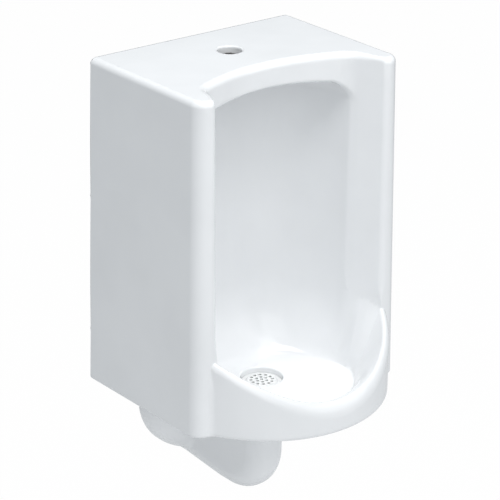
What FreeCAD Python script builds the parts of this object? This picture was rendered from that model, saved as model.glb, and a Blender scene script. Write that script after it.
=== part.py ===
import FreeCAD, Part
import math
import os
import re
from collections import namedtuple

import Sketcher

Vector = FreeCAD.Vector

# A wall hung urinal: one vitreous china casting with its strainer, outlet flange set and wall hangers.
# X runs to the right as seen from the room, Y runs into the wall, Z is up, and all sizes are in mm.
# The origin is on the wall, on the centre line, in the middle of the four hanger screws. Every piece
# is drawn with height 0 at the foot of the box, and its Placement then lowers it by the hanger height.

# Driving dimensions. Depths are measured from the wall into the room, heights from the foot of the box.
DIMENSIONS = {
    # the box
    "box_height": 492,
    "back_width": 360,  # at the top, against the wall
    "front_width": 344,  # at the top, across the wing fronts
    "wing_depth": 250,  # at the top
    "flare": 7.2,  # the sides and the wing fronts stand this much further out at the foot
    "corner_round": 16,
    "top_round": 6,
    "china": 10,  # usual wall of the casting
    # the concave lintel and the splayed wings
    "lintel_apex": 149,
    "lintel_curve": 280,
    "lintel_in": 46,  # where the lintel's line meets a wing's line, in from the side
    "lintel_end": 196,
    "lintel_corner": 35,
    "lintel_height": 36,
    "wing_wall": 18.5,  # a wing's thickness at its front
    "wing_round": 8,
    # the alcove
    "alcove_in": 41,  # the alcove's side, in from the side of the box
    "alcove_depth": 69,
    "alcove_curve": 120,
    "alcove_reach": 225,
    "ceiling_round": 12,
    # the lip and the bowl
    "lip_in": 6,  # where the lip's curve starts inside the box, in from the side
    "lip_reach": 356,
    "lip_root_in": 4,  # and in from the wing fronts
    "rim_back": 120,
    "recess_floor": 112,
    "rim_front": 36,
    "rim_curve": 330,
    "rim_round": 7,
    "foot_round": 6,
    "lip_wall": 18.5,
    "bowl_floor": 14,
    "bowl_side_in": 44,
    "bowl_back_in": 66,
    "bowl_front_in": 22,
    "crease_in": 18,
    "shoulder_depth": 239,
    "rim_inner_round": 6,
    # the drain and the trap
    "drain_depth": 170,
    "drain_radius": 31,
    "seat_height": 1,
    "passage_radius": 25,
    "keel_radius": 36,
    "keel_flat": 1,  # half the flat strip left between its two roundings
    "trap_bottom": 145,
    "trap_bend": 45,
    "trap_turn": 100,
    "weir_depth": 48,
    "weir_bend": 40,
    "keel_end": 130,
    # the outlet collar
    "outlet_drop": 60,
    "collar_radius": 100,
    "collar_land": 10,
    "collar_depth": 50,
    "horn_radius": 36,
    "horn_face": 22,
    "bolt_spread": 50,
    "bolt_hole": 5.5,
    # the flush chamber
    "slab": 12,
    "chamber_in": 14,  # the chamber's end, in from the side
    "chamber_front": 148,
    "inlet_radius": 18,
    "inlet_round": 2,
    "inlet_depth": 86,
    "wash_radius": 3,
    "wash_depth": 92,
    "wash_pitch": 18,
    "wash_count": 7,
    # the hollow back and the rail that hangs on the hooks
    "hollow_front": 192,
    "rail_height": 92,  # its lower edge, down from the top
    "rail_thick": 14,
    "notch_depth": 4,
    # the strainer
    "strainer_gap": 0.6,
    "strainer_flange": 3,
    "strainer_crown": 3.5,
    "strainer_wall": 3,
    "cap_flat": 21,  # radius of the cap's level top
    "cap_foot": 24.5,
    "spigot_gap": 1.5,
    "spigot_length": 10,
    "strainer_hole": 2.6,
    "hole_ring": 8,  # each ring of holes stands this much further out
    "seal_thick": 1.5,
    # the outlet flange set
    "flange_radius": 62,
    "flange_thick": 12,
    "waste_outer": 30,
    "waste_length": 50,
    "gasket_outer": 40,
    "gasket_gap": 1,
    "bolt_radius": 4,
    "bolt_play": 0.5,
    "bolt_head_radius": 7.5,
    "bolt_head_height": 4.5,
    "bolt_end": 66,
    "washer_radius": 9,
    "washer_thick": 1.6,
    "nut_radius": 7.5,
    "nut_height": 6.5,
    # the wall hangers
    "hanger_spread": 95,
    "hanger_width": 46,
    "hanger_gap": 1,
    "hanger_thick": 3,
    "hanger_lip": 14,
    "hanger_tail": 64,
    "hanger_bend": 2,  # inside each bend
    "hanger_hole": 3.5,
    "screw_radius": 3,
    "screw_neck": 3.25,
    "screw_length": 45,
    "screw_head_radius": 6,
    "screw_head_height": 3.6,
    "screw_drop": 19,
    "screw_pitch": 30,
    "screw_washer_radius": 7,
    "screw_washer_thick": 1.2,
}

doc = FreeCAD.newDocument("WallHungUrinal")
sheet = doc.addObject("Spreadsheet::Sheet", "Sizes")
for row, (alias, value) in enumerate(DIMENSIONS.items(), start=1):
    sheet.set(f"A{row}", alias)
    sheet.set(f"B{row}", str(value))
    sheet.setAlias(f"B{row}", alias)
doc.recompute()

# Heights and depths that follow from others, written once.
CEILING = "(box_height - lintel_height)"
LINTEL_SPREAD = "(front_width / 2 - lintel_in)"
WING_SPREAD = "(front_width / 2 - wing_wall)"
ALCOVE_HALF = "(front_width / 2 - alcove_in)"
LIP_SPREAD = "(front_width / 2 - lip_in)"
RAIL_BOTTOM = "(box_height - rail_height)"
LIP_ROOT = "(wing_depth - lip_root_in)"
WING_FOOT = "(wing_depth + flare)"
RIM_FRONT = "(wing_depth + flare * (1 - recess_floor / box_height))"
SEAT_ON_HANGER = f"({RAIL_BOTTOM} + notch_depth)"
SCREW_MIDDLE = f"({SEAT_ON_HANGER} - screw_drop - screw_pitch / 2)"


def bound(text):
    """An expression in which each size's name points at its cell in the sheet."""
    return re.sub(r"[a-z_]\w*", lambda m: f"Sizes.{m.group()}" if m.group() in DIMENSIONS else m.group(), str(text))


def number(text):
    """What an expression comes to, in mm."""
    value = sheet.evalExpression(bound(text))
    return float(getattr(value, "Value", value))


Corner = namedtuple("Corner", "x y round arc bulge", defaults=("", "", 1))


def draw(sketch, corners, closed=True):
    """Draws an outline through the corners, and binds each to the sheet.

    A corner can be rounded, and the side that leaves it can be an arc of the radius given, which bulges
    to the right of the way the outline runs, or to its left with bulge -1.
    """
    points = [Vector(number(c.x), number(c.y), 0) for c in corners]
    count = len(points)
    stops, starts, rounds = list(points), list(points), {}
    for i, corner in enumerate(corners):
        if corner.round:
            radius = number(corner.round)
            back = (points[i - 1] - points[i]).normalize()
            ahead = (points[(i + 1) % count] - points[i]).normalize()
            half = back.getAngle(ahead) / 2
            stops[i] = points[i] + back * (radius / math.tan(half))
            starts[i] = points[i] + ahead * (radius / math.tan(half))
            centre = points[i] + (back + ahead).normalize() * (radius / math.sin(half))
            turns_left = ahead.cross(back).z > 0
            ends = (stops[i], starts[i]) if turns_left else (starts[i], stops[i])
            rounds[i] = sketch.addGeometry(arc_between(centre, *ends), False), turns_left
    sides = []
    for i in range(count if closed else count - 1):
        start, stop = starts[i], stops[(i + 1) % count]
        if corners[i].arc:
            chord = stop - start
            radius = number(corners[i].arc)
            to_left = Vector(-chord.y, chord.x, 0).normalize() * corners[i].bulge
            centre = (start + stop) / 2 + to_left * math.sqrt(radius**2 - chord.Length**2 / 4)
            ends = (start, stop) if corners[i].bulge > 0 else (stop, start)
            side = sketch.addGeometry(arc_between(centre, *ends), False)
            bind(sketch, Sketcher.Constraint("Radius", side, radius), f"arc_{i}", corners[i].arc)
            sides.append((side, 1, 2) if corners[i].bulge > 0 else (side, 2, 1))
        else:
            sides.append((sketch.addGeometry(Part.LineSegment(start, stop), False), 1, 2))
    for i, corner in enumerate(corners):
        before = sides[i - 1] if closed or i else None
        after = sides[i] if i < len(sides) else None
        if i in rounds:
            arc, turns_left = rounds[i]
            tip = sketch.addGeometry(Part.Point(points[i]), True)
            pin(sketch, tip, 1, corner, i)
            sketch.addConstraint(Sketcher.Constraint("PointOnObject", tip, 1, before[0]))
            sketch.addConstraint(Sketcher.Constraint("PointOnObject", tip, 1, after[0]))
            first, last = (1, 2) if turns_left else (2, 1)
            sketch.addConstraint(Sketcher.Constraint("Tangent", before[0], before[2], arc, first))
            sketch.addConstraint(Sketcher.Constraint("Tangent", arc, last, after[0], after[1]))
            bind(sketch, Sketcher.Constraint("Radius", arc, number(corner.round)), f"round_{i}", corner.round)
        elif before and after:
            sketch.addConstraint(Sketcher.Constraint("Coincident", before[0], before[2], after[0], after[1]))
            pin(sketch, after[0], after[1], corner, i)
        elif after:
            pin(sketch, after[0], after[1], corner, i)
        else:
            pin(sketch, before[0], before[2], corner, i)
    doc.recompute()
    return [f"Edge{k + 1}" for k in range(len(sides) + len(rounds))]


def arc_between(centre, first, last):
    """The arc that runs anticlockwise from first to last."""
    out, end = first - centre, last - centre
    start_angle, end_angle = math.atan2(out.y, out.x), math.atan2(end.y, end.x)
    circle = Part.Circle(centre, Vector(0, 0, 1), out.Length)
    return Part.ArcOfCircle(circle, start_angle, end_angle)


def bind(sketch, constraint, name, text):
    """Adds a constraint whose value follows the sheet."""
    index = sketch.addConstraint(constraint)
    sketch.renameConstraint(index, name)
    sketch.setExpression(f"Constraints.{name}", bound(text))


def pin(sketch, shape, end, corner, i):
    """Holds one end of a sketched shape at its corner's place."""
    for axis, text, line, kind in ((0, corner.x, -2, "DistanceX"), (1, corner.y, -1, "DistanceY")):
        if text == "0":
            sketch.addConstraint(Sketcher.Constraint("PointOnObject", shape, end, line))
        else:
            name = ("across", "along")[axis] + f"_{i}"
            bind(sketch, Sketcher.Constraint(kind, -1, 1, shape, end, number(text)), name, text)


def ring(sketch, x, y, radius, name="ring"):
    """A circle at a place given by expressions."""
    circle = Part.Circle(Vector(number(x), number(y), 0), Vector(0, 0, 1), number(radius))
    shape = sketch.addGeometry(circle, False)
    bind(sketch, Sketcher.Constraint("Radius", shape, number(radius)), f"{name}_radius", radius)
    for text, line, kind in ((x, -2, "DistanceX"), (y, -1, "DistanceY")):
        if text == "0":
            sketch.addConstraint(Sketcher.Constraint("PointOnObject", shape, 3, line))
        else:
            bind(sketch, Sketcher.Constraint(kind, -1, 1, shape, 3, number(text)), f"{name}_{kind}", text)
    doc.recompute()


def sketch_on(body, name, plane, offset="0"):
    """An empty sketch on one of the body's own planes, moved along that plane's normal."""
    sketch = body.newObject("Sketcher::SketchObject", name)
    support = next(o for o in body.Origin.OriginFeatures if o.Role == plane)
    sketch.AttachmentSupport = [(support, "")]
    sketch.MapMode = "FlatFace"
    if offset != "0":
        sketch.setExpression("AttachmentOffset.Base.z", bound(offset))
    doc.recompute()
    return sketch


def new_body(name):
    """A piece of the assembly, lowered from its own height 0 at the foot of the box to the origin's."""
    body = doc.addObject("PartDesign::Body", name)
    body.Label = name
    body.AllowCompound = True
    body.setExpression("Placement.Base.z", bound(f"-{SCREW_MIDDLE}"))
    return body


def feature(body, kind, name, **values):
    """Adds one feature, with its lengths bound to the sheet, and checks that it changed the body."""
    before = body.Shape.Volume if body.Tip else 0
    made = body.newObject(f"PartDesign::{kind}", name)
    for key, value in values.items():
        if key in ("Length", "Radius", "Size", "Angle") and isinstance(value, str):
            made.setExpression(key, bound(value))
        else:
            setattr(made, key, value)
    body.Tip = made
    doc.recompute()
    if not made.isValid() or made.Shape.isNull() or not made.Shape.isValid():
        raise ValueError(f"{body.Label}: {name} failed")
    if abs(made.Shape.Volume - before) < 1e-3:
        raise ValueError(f"{body.Label}: {name} changed nothing")
    return made


def loft(body, kind, name, sections, ruled=True):
    """A loft through sections, each (height, corners) on a level plane."""
    sketches = []
    for k, (height, corners) in enumerate(sections):
        sketch = sketch_on(body, f"{name}_section_{k}", "XY_Plane", height)
        draw(sketch, corners)
        sketches.append(sketch)
    return feature(body, kind, name, Profile=sketches[0], Sections=sketches[1:], Ruled=ruled)


def edges_of(made, test):
    """The names of a feature's edges that pass a test."""
    return [f"Edge{k}" for k, edge in enumerate(made.Shape.Edges, start=1) if test(edge)]


def faces_of(made, test):
    """The names of a feature's faces that pass a test."""
    return [f"Face{k}" for k, face in enumerate(made.Shape.Faces, start=1) if test(face)]


def middle(edge):
    """The point half way along an edge."""
    return edge.valueAt((edge.FirstParameter + edge.LastParameter) / 2)


def turned(body, kind, name, sketch, start, end):
    """Turns a sketch about the line between two places on it, and adds or cuts what it sweeps."""
    line = sketch.addGeometry(Part.LineSegment(
        *(Vector(number(x), number(y)) for x, y in (start, end))), True)
    pin(sketch, line, 1, Corner(*start), "axis_start")
    pin(sketch, line, 2, Corner(*end), "axis_end")
    doc.recompute()
    return feature(body, kind, name, Profile=sketch, ReferenceAxis=(sketch, ["Axis0"]), Angle=360)


def mirrored(corners, closing_arc=""):
    """An outline symmetric about the centre line, from its right half listed anticlockwise."""
    left = [Corner(f"-({c.x})", c.y, c.round) for c in reversed(corners) if c.x != "0"]
    return list(corners) + left[:-1] + [left[-1]._replace(arc=closing_arc)]


def arc_radius(half_chord, rise):
    """The radius of an arc over a chord."""
    return f"((({half_chord})^2 + ({rise})^2) / (2 * ({rise})))"


# The china casting, from the outside in.
china = new_body("china_body")

# The box: upright when padded, then its sides and front lean out towards the foot.
box_plan = sketch_on(china, "box_plan", "XY_Plane")
draw(box_plan, [
    Corner("-back_width / 2", "0"),
    Corner("-front_width / 2", "-wing_depth"),
    Corner("front_width / 2", "-wing_depth"),
    Corner("back_width / 2", "0"),
])
box = feature(china, "Pad", "box", Profile=box_plan, Length="box_height")
top = number("box_height")
lean = feature(china, "Draft", "lean", Angle="atan(flare / box_height)",
               NeutralPlane=(box, faces_of(box, lambda f: abs(f.CenterOfMass.z - top) < 0.01)),
               Base=(box, faces_of(box, lambda f: f.CenterOfMass.y < -1 and abs(f.normalAt(0, 0).z) < 0.1)))
feature(china, "Fillet", "box_corners", Radius="corner_round", Base=(lean, edges_of(
    lean, lambda e: abs(middle(e).z - top / 2) < 1 and middle(e).y < -1)))

# Along a wing's inner face, the half width at a depth and the depth at a half width.
SPLAY = f"(({WING_SPREAD} - {LINTEL_SPREAD}) / ({RIM_FRONT} - lintel_end))"
SHOULDER_SPREAD = f"({LINTEL_SPREAD} + (shoulder_depth - lintel_end) * {SPLAY})"
CREASE_DEPTH = f"(lintel_end + ({ALCOVE_HALF} - {LINTEL_SPREAD}) / {SPLAY})"

# The keel: the outside of the trap, flat sided, and fully rounded in front and below.
keel_side = sketch_on(china, "keel_side", "YZ_Plane")
draw(keel_side, [
    Corner("-(drain_depth + keel_radius)", "foot_round"),
    Corner("-(drain_depth + keel_radius)", "-(trap_bottom + keel_radius)", "trap_bend + keel_radius"),
    Corner("-trap_turn", "-(trap_bottom + keel_radius)", "trap_bend + keel_radius"),
    Corner("0", "-(keel_end + keel_radius)"),
    Corner("0", "foot_round"),
])
keel = feature(china, "Pad", "keel", Profile=keel_side, SideType="Symmetric", Length="2 * keel_radius")
keel_half = number("keel_radius")
feature(china, "Fillet", "keel_rounding", Radius="keel_radius - keel_flat", Base=(keel, edges_of(
    keel, lambda e: abs(abs(middle(e).x) - keel_half) < 0.01 and middle(e).y < -1 and middle(e).z < -1)))

# The lip stands out of the box's foot as part of a circle, and its rim falls in one curve from the wings.
lip_plan = sketch_on(china, "lip_plan", "XY_Plane")
draw(lip_plan, [
    Corner(f"-{LIP_SPREAD}", f"-{LIP_ROOT}", "", arc_radius(LIP_SPREAD, f"(lip_reach - {LIP_ROOT})")),
    Corner(LIP_SPREAD, f"-{LIP_ROOT}"),
])
feature(china, "Pad", "lip", Profile=lip_plan, Length="recess_floor")

rim_side = sketch_on(china, "rim_side", "YZ_Plane")
draw(rim_side, [
    Corner("-lip_reach", "rim_front", "", "rim_curve", -1),
    Corner(f"-{RIM_FRONT}", "recess_floor"),
    Corner(f"-{RIM_FRONT}", "rim_back * 2"),
    Corner("-(lip_reach + lip_wall)", "rim_back * 2"),
    Corner("-(lip_reach + lip_wall)", "rim_front"),
])
rim = feature(china, "Pocket", "rim_slope", Profile=rim_side, SideType="Symmetric", Length="2 * back_width")
wing_front, rim_low = number(WING_FOOT), number("rim_front")
rim = feature(china, "Fillet", "rim_edge", Radius="rim_round", Base=(rim, edges_of(
    rim, lambda e: -middle(e).y > wing_front + 1 and abs(middle(e).x) > 1 and middle(e).z > rim_low)))
feature(china, "Fillet", "foot_edge", Radius="foot_round", Base=(rim, edges_of(
    rim, lambda e: -middle(e).y > wing_front + 1 and abs(middle(e).x) < 1 and abs(middle(e).z) < 0.01)))

# The space between the wings, in front of the concave lintel.
def recess_plan(front):
    """What is cut away at one height, with the wings' inner front corners rounded."""
    return mirrored([
        Corner("back_width", "-2 * lip_reach"),
        Corner("back_width", f"-{front}"),
        Corner(WING_SPREAD, f"-{front}", "wing_round"),
        Corner(LINTEL_SPREAD, "-lintel_end", "lintel_corner"),
        Corner("0", "-lintel_apex", "lintel_curve"),
    ])


recess = loft(china, "SubtractiveLoft", "recess", [
    ("recess_floor", recess_plan(RIM_FRONT)),
    ("box_height", recess_plan("wing_depth")),
])
feature(china, "Fillet", "top_edges", Radius="top_round", Base=(recess, edges_of(
    recess, lambda e: abs(middle(e).z - top) < 0.01 and middle(e).y < -1)))

# The alcove behind the lintel.
# The alcove behind the lintel.
alcove_plan = sketch_on(china, "alcove_plan", "XY_Plane", CEILING)
draw(alcove_plan, mirrored([
    Corner(ALCOVE_HALF, "-alcove_reach"),
    Corner(ALCOVE_HALF, "-alcove_depth", "alcove_curve"),
]))
alcove = feature(china, "Pocket", "alcove", Profile=alcove_plan, Length=f"{CEILING} - recess_floor")
ceiling, alcove_side = number(CEILING), number(ALCOVE_HALF)
feature(china, "Fillet", "ceiling_rounding", Radius="ceiling_round", Base=(alcove, edges_of(
    alcove, lambda e: abs(middle(e).z - ceiling) < 0.01 and (
        abs(abs(middle(e).x) - alcove_side) < 0.01 or -middle(e).y < number("lintel_apex - china")))))


def bowl_plan(inward):
    """The bowl's outline once its walls have come in by a share of their whole slope."""
    spread, depth = f"({SHOULDER_SPREAD} - bowl_side_in * {inward})", f"(shoulder_depth + crease_in * {inward})"
    half, front = f"({ALCOVE_HALF} - bowl_side_in * {inward})", f"(lip_reach - lip_wall - bowl_front_in * {inward})"
    return mirrored([
        Corner(spread, f"-{depth}"),
        Corner(half, f"-({CREASE_DEPTH} + crease_in * {inward})"),
        Corner(half, f"-(alcove_depth + bowl_back_in * {inward})", f"(alcove_curve - bowl_side_in * {inward})"),
    ], arc_radius(spread, f"({front} - {depth})"))


# The bowl's wall follows a quarter of an ellipse, upright at the rim and level at the floor.
BOWL_STEPS = 4
bowl_sections = []
for step in range(BOWL_STEPS + 1):
    turn = math.radians(90 * step / BOWL_STEPS)
    height = f"(rim_back - (rim_back - bowl_floor) * {math.sin(turn):.6f})"
    bowl_sections.append((height, bowl_plan(f"{1 - math.cos(turn):.6f}")))
bowl = loft(china, "SubtractiveLoft", "bowl", bowl_sections, ruled=False)
rim_inside = number("lip_reach - lip_wall")
feature(china, "Fillet", "rim_inner_rounding", Radius="rim_inner_round", Base=(bowl, edges_of(
    bowl, lambda e: abs(middle(e).x) < 1 and abs(middle(e).y + rim_inside) < 6 and middle(e).z > 30)))

# The open back: the space between the alcove's wall and the box's sides, up to the hanging rail.
def back_plan(back):
    """The hollow behind the alcove, between its wall and the sides of the box."""
    shell = f"({ALCOVE_HALF} + china)"
    return mirrored([
        Corner(shell, "-hollow_front"),
        Corner("(front_width / 2 - china)", "-hollow_front"),
        Corner("(back_width / 2 - china)", back),
    ])[:3] + [
        Corner("-(back_width / 2 - china)", back),
        Corner("-(front_width / 2 - china)", "-hollow_front"),
        Corner(f"-{shell}", "-hollow_front"),
        Corner(f"-{shell}", "-(alcove_depth - china)", "(alcove_curve + china)"),
        Corner(shell, "-(alcove_depth - china)", "(alcove_curve + china)"),
    ]


hollow_plan = sketch_on(china, "hollow_plan", "XY_Plane", RAIL_BOTTOM)
draw(hollow_plan, back_plan("china"))
feature(china, "Pocket", "open_back", Profile=hollow_plan, Length=f"{RAIL_BOTTOM} + china")
upper_plan = sketch_on(china, "upper_hollow_plan", "XY_Plane", CEILING)
draw(upper_plan, back_plan("-rail_thick"))
feature(china, "Pocket", "upper_hollow", Profile=upper_plan, Length=f"{CEILING} - {RAIL_BOTTOM}")

# A notch under each hook, in the lower edge of the rail.
for name, side in (("left", "-"), ("right", "")):
    notch = sketch_on(china, f"{name}_notch", "YZ_Plane", f"{side}hanger_spread")
    draw(notch, [
        Corner("-(rail_thick + china)", f"{RAIL_BOTTOM} - notch_depth"),
        Corner("china", f"{RAIL_BOTTOM} - notch_depth"),
        Corner("china", SEAT_ON_HANGER),
        Corner("-(rail_thick + china)", SEAT_ON_HANGER),
    ])
    feature(china, "Pocket", f"{name}_notch_cut", Profile=notch, SideType="Symmetric",
            Length="hanger_width + 2 * hanger_gap")

# The flush chamber under the top, its inlet and the row of wash holes in its floor.
chamber_plan = sketch_on(china, "chamber_plan", "XY_Plane", "box_height - slab")
draw(chamber_plan, mirrored([
    Corner("front_width / 2 - chamber_in", "-chamber_front", "china"),
    Corner("front_width / 2 - chamber_in", "-rail_thick", "china"),
]))
feature(china, "Pocket", "flush_chamber", Profile=chamber_plan, Length="lintel_height - slab - china")
inlet_plan = sketch_on(china, "inlet_plan", "XY_Plane", "box_height")
ring(inlet_plan, "0", "-inlet_depth", "inlet_radius")
inlet = feature(china, "Pocket", "inlet", Profile=inlet_plan, Length="slab + 0.5")
feature(china, "Chamfer", "inlet_edge", Size="inlet_round", Base=(inlet, edges_of(
    inlet, lambda e: abs(middle(e).z - top) < 0.01 and abs(e.Curve.Radius - number("inlet_radius")) < 0.01
    if hasattr(e.Curve, "Radius") else False)))
wash_plan = sketch_on(china, "wash_plan", "XY_Plane", f"{CEILING} + 2 * china")
ring(wash_plan, "-wash_pitch * (wash_count - 1) / 2", "-wash_depth", "wash_radius")
wash = feature(china, "Pocket", "wash_hole", Profile=wash_plan, Length="3 * china")
row = china.newObject("PartDesign::LinearPattern", "wash_holes")
row.Originals = [wash]
row.Direction = (wash_plan, ["H_Axis"])
row.setExpression("Length", bound("wash_pitch * (wash_count - 1)"))
row.setExpression("Occurrences", bound("wash_count"))
china.Tip = row
doc.recompute()

# The outlet collar: a round dish against the wall, turned about the outlet's axis.
COLLAR_CURVE = "(collar_depth - collar_land)"
COLLAR_STEPS = 4
collar_side = sketch_on(china, "collar_side", "YZ_Plane")
shoulder = []
for step in range(COLLAR_STEPS + 1):
    turn = math.radians(90 * step / COLLAR_STEPS)
    shoulder.append(Corner(f"-(collar_land + {COLLAR_CURVE} * {math.sin(turn):.6f})",
                           f"collar_radius - outlet_drop - {COLLAR_CURVE} * {1 - math.cos(turn):.6f}"))
draw(collar_side, [
    Corner("-collar_depth", "-outlet_drop"),
    Corner("0", "-outlet_drop"),
    Corner("0", "collar_radius - outlet_drop"),
    *shoulder,
])
OUTLET_AXIS = ("0", "-outlet_drop"), ("-collar_depth", "-outlet_drop")
turned(china, "Revolution", "collar", collar_side, *OUTLET_AXIS)

# The collar's pocket for the flange, with the horn that meets the gasket standing in it.
pocket_side = sketch_on(china, "pocket_side", "YZ_Plane")
draw(pocket_side, [
    Corner("-(collar_depth - slab)", "horn_radius - outlet_drop"),
    Corner("-horn_face", "horn_radius - outlet_drop"),
    Corner("-horn_face", "-outlet_drop"),
    Corner("china", "-outlet_drop"),
    Corner("china", "collar_radius - slab - outlet_drop"),
    Corner("-collar_land", "collar_radius - slab - outlet_drop"),
    Corner("-(collar_depth - slab)", "collar_radius - collar_depth + slab / 2 - outlet_drop"),
])
turned(china, "Groove", "flange_pocket", pocket_side, *OUTLET_AXIS)
bolt_holes = sketch_on(china, "bolt_holes", "XZ_Plane")
for side in (-1, 1):
    ring(bolt_holes, f"{side} * bolt_spread", "-outlet_drop", "bolt_hole", f"hole_{side + 1}")
feature(china, "Pocket", "collar_bolt_holes", Profile=bolt_holes, Reversed=True, Length="collar_depth + china")

# The water's way: a seat for the strainer, then down, round the trap, over the weir and out.
well_plan = sketch_on(china, "well_plan", "XY_Plane", "bowl_floor + 2 * china")
ring(well_plan, "0", "-drain_depth", "drain_radius")
feature(china, "Pocket", "drain_well", Profile=well_plan, Length="bowl_floor + 2 * china - seat_height")
passage_path = sketch_on(china, "passage_path", "YZ_Plane")
passage_edges = draw(passage_path, [
    Corner("-drain_depth", "bowl_floor"),
    Corner("-drain_depth", "-trap_bottom", "trap_bend"),
    Corner("-trap_turn", "-trap_bottom", "weir_bend"),
    Corner("-weir_depth", "-outlet_drop", "weir_bend"),
    Corner("-horn_face / 2", "-outlet_drop"),
], closed=False)
passage_round = sketch_on(china, "passage_round", "XY_Plane", "bowl_floor")
ring(passage_round, "0", "-drain_depth", "passage_radius")
feature(china, "SubtractivePipe", "passage", Profile=passage_round, Spine=(passage_path, passage_edges))

# The strainer: a low perforated cap on a flange, with a short spigot in the throat and a seal under the flange.
SEAL_TOP = "(seat_height + seal_thick)"
CAP_BASE = f"({SEAL_TOP} + strainer_flange)"
CAP_TOP = f"({CAP_BASE} + strainer_crown)"
SPIGOT_OUT = "(passage_radius - spigot_gap)"
SPIGOT_IN = f"({SPIGOT_OUT} - strainer_wall)"
STRAINER_AXIS = ("-drain_depth", "0"), ("-drain_depth", "-spigot_length")
strainer = new_body("strainer")
cap_side = sketch_on(strainer, "cap_side", "YZ_Plane")
draw(cap_side, [
    Corner("-drain_depth", f"{CAP_TOP} - strainer_wall"),
    Corner("-drain_depth", CAP_TOP),
    Corner("cap_flat - drain_depth", CAP_TOP),
    Corner("cap_foot - drain_depth", CAP_BASE),
    Corner("drain_radius - strainer_gap - drain_depth", CAP_BASE),
    Corner("drain_radius - strainer_gap - drain_depth", SEAL_TOP),
    Corner(f"{SPIGOT_OUT} - drain_depth", SEAL_TOP),
    Corner(f"{SPIGOT_OUT} - drain_depth", "seat_height - spigot_length"),
    Corner(f"{SPIGOT_IN} - drain_depth", "seat_height - spigot_length"),
    Corner(f"{SPIGOT_IN} - drain_depth", f"{CAP_TOP} - strainer_wall"),
])
turned(strainer, "Revolution", "cap", cap_side, *STRAINER_AXIS)
for ring_number, count in ((0, 1), (1, 6), (2, 12)):
    holes = sketch_on(strainer, f"holes_{ring_number}", "XY_Plane", f"{CAP_TOP} + strainer_crown")
    for k in range(count):
        turn = math.radians(360 * k / count)
        ring(holes, f"{ring_number} * hole_ring * {math.cos(turn):.6f}",
             f"{ring_number} * hole_ring * {math.sin(turn):.6f} - drain_depth", "strainer_hole", f"hole_{k}")
    feature(strainer, "Pocket", f"hole_ring_{ring_number}", Profile=holes, Length="3 * strainer_crown")

seal = new_body("strainer_seal")
seal_face = sketch_on(seal, "seal_face", "XY_Plane", "seat_height")
ring(seal_face, "0", "-drain_depth", "drain_radius - strainer_gap", "outside")
ring(seal_face, "0", "-drain_depth", "passage_radius", "bore")
feature(seal, "Pad", "seal_ring", Profile=seal_face, Length="seal_thick")

# The outlet flange stands flat on the wall, its spigot in the waste pipe, the gasket between it and the horn.
flange = new_body("outlet_flange")
disc = sketch_on(flange, "disc", "XZ_Plane")
ring(disc, "0", "-outlet_drop", "flange_radius", "outside")
ring(disc, "0", "-outlet_drop", "passage_radius", "bore")
feature(flange, "Pad", "plate", Profile=disc, Length="flange_thick")
tube = sketch_on(flange, "tube", "XZ_Plane", "-waste_length")
ring(tube, "0", "-outlet_drop", "waste_outer", "outside")
ring(tube, "0", "-outlet_drop", "passage_radius", "bore")
feature(flange, "Pad", "spigot", Profile=tube, Length="waste_length")
BOLT_PLACES = [("-bolt_spread", "-outlet_drop"), ("bolt_spread", "-outlet_drop")]
HEAD_FACE = "(bolt_head_height + bolt_play)"


def drilled(body, name, places, radius, plane_offset, length):
    """Round holes or rods at several places, towards the room from a plane parallel to the wall."""
    circles = sketch_on(body, f"{name}_circles", "XZ_Plane", plane_offset)
    for k, (x, z) in enumerate(places):
        ring(circles, x, z, radius, f"place_{k}")
    if body.Tip and name.endswith("holes"):
        return feature(body, "Pocket", name, Profile=circles, Reversed=True, Length=length)
    return feature(body, "Pad", name, Profile=circles, Length=length)


drilled(flange, "bolt_holes", BOLT_PLACES, "bolt_radius + bolt_play", "0", "flange_thick")
drilled(flange, "head_holes", BOLT_PLACES, "bolt_head_radius + bolt_play", "0", HEAD_FACE)

gasket = new_body("outlet_gasket")
gasket_face = sketch_on(gasket, "gasket_face", "XZ_Plane", "flange_thick")
ring(gasket_face, "0", "-outlet_drop", "gasket_outer", "outside")
ring(gasket_face, "0", "-outlet_drop", "passage_radius + gasket_gap", "bore")
feature(gasket, "Pad", "gasket_ring", Profile=gasket_face, Length="horn_face - flange_thick")


def hexagons(body, name, places, radius, plane_offset, length, bore=""):
    """Hexagonal prisms at several places, towards the room from a plane parallel to the wall."""
    for k, (x, z) in enumerate(places):
        outline = sketch_on(body, f"{name}_{k}_outline", "XZ_Plane", plane_offset)
        turns = [math.radians(60 * corner) for corner in range(6)]
        draw(outline, [Corner(f"{x} + {radius} * {math.cos(turn):.6f}", f"{z} + {radius} * {math.sin(turn):.6f}")
                       for turn in turns])
        if bore:
            ring(outline, x, z, bore)
        feature(body, "Pad", f"{name}_{k}", Profile=outline, Length=length)


bolts = new_body("flange_bolts")
hexagons(bolts, "head", BOLT_PLACES, "bolt_head_radius", "bolt_play", "bolt_head_height")
drilled(bolts, "shanks", BOLT_PLACES, "bolt_radius", HEAD_FACE, f"bolt_end - {HEAD_FACE}")

washers = new_body("flange_washers")
drilled(washers, "discs", BOLT_PLACES, "washer_radius", "collar_depth", "washer_thick")
drilled(washers, "washer_holes", BOLT_PLACES, "bolt_radius + bolt_play / 2", "collar_depth", "washer_thick")

nuts = new_body("flange_nuts")
hexagons(nuts, "nut", BOLT_PLACES, "nut_radius", "collar_depth + washer_thick", "nut_height", "bolt_radius")

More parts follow.
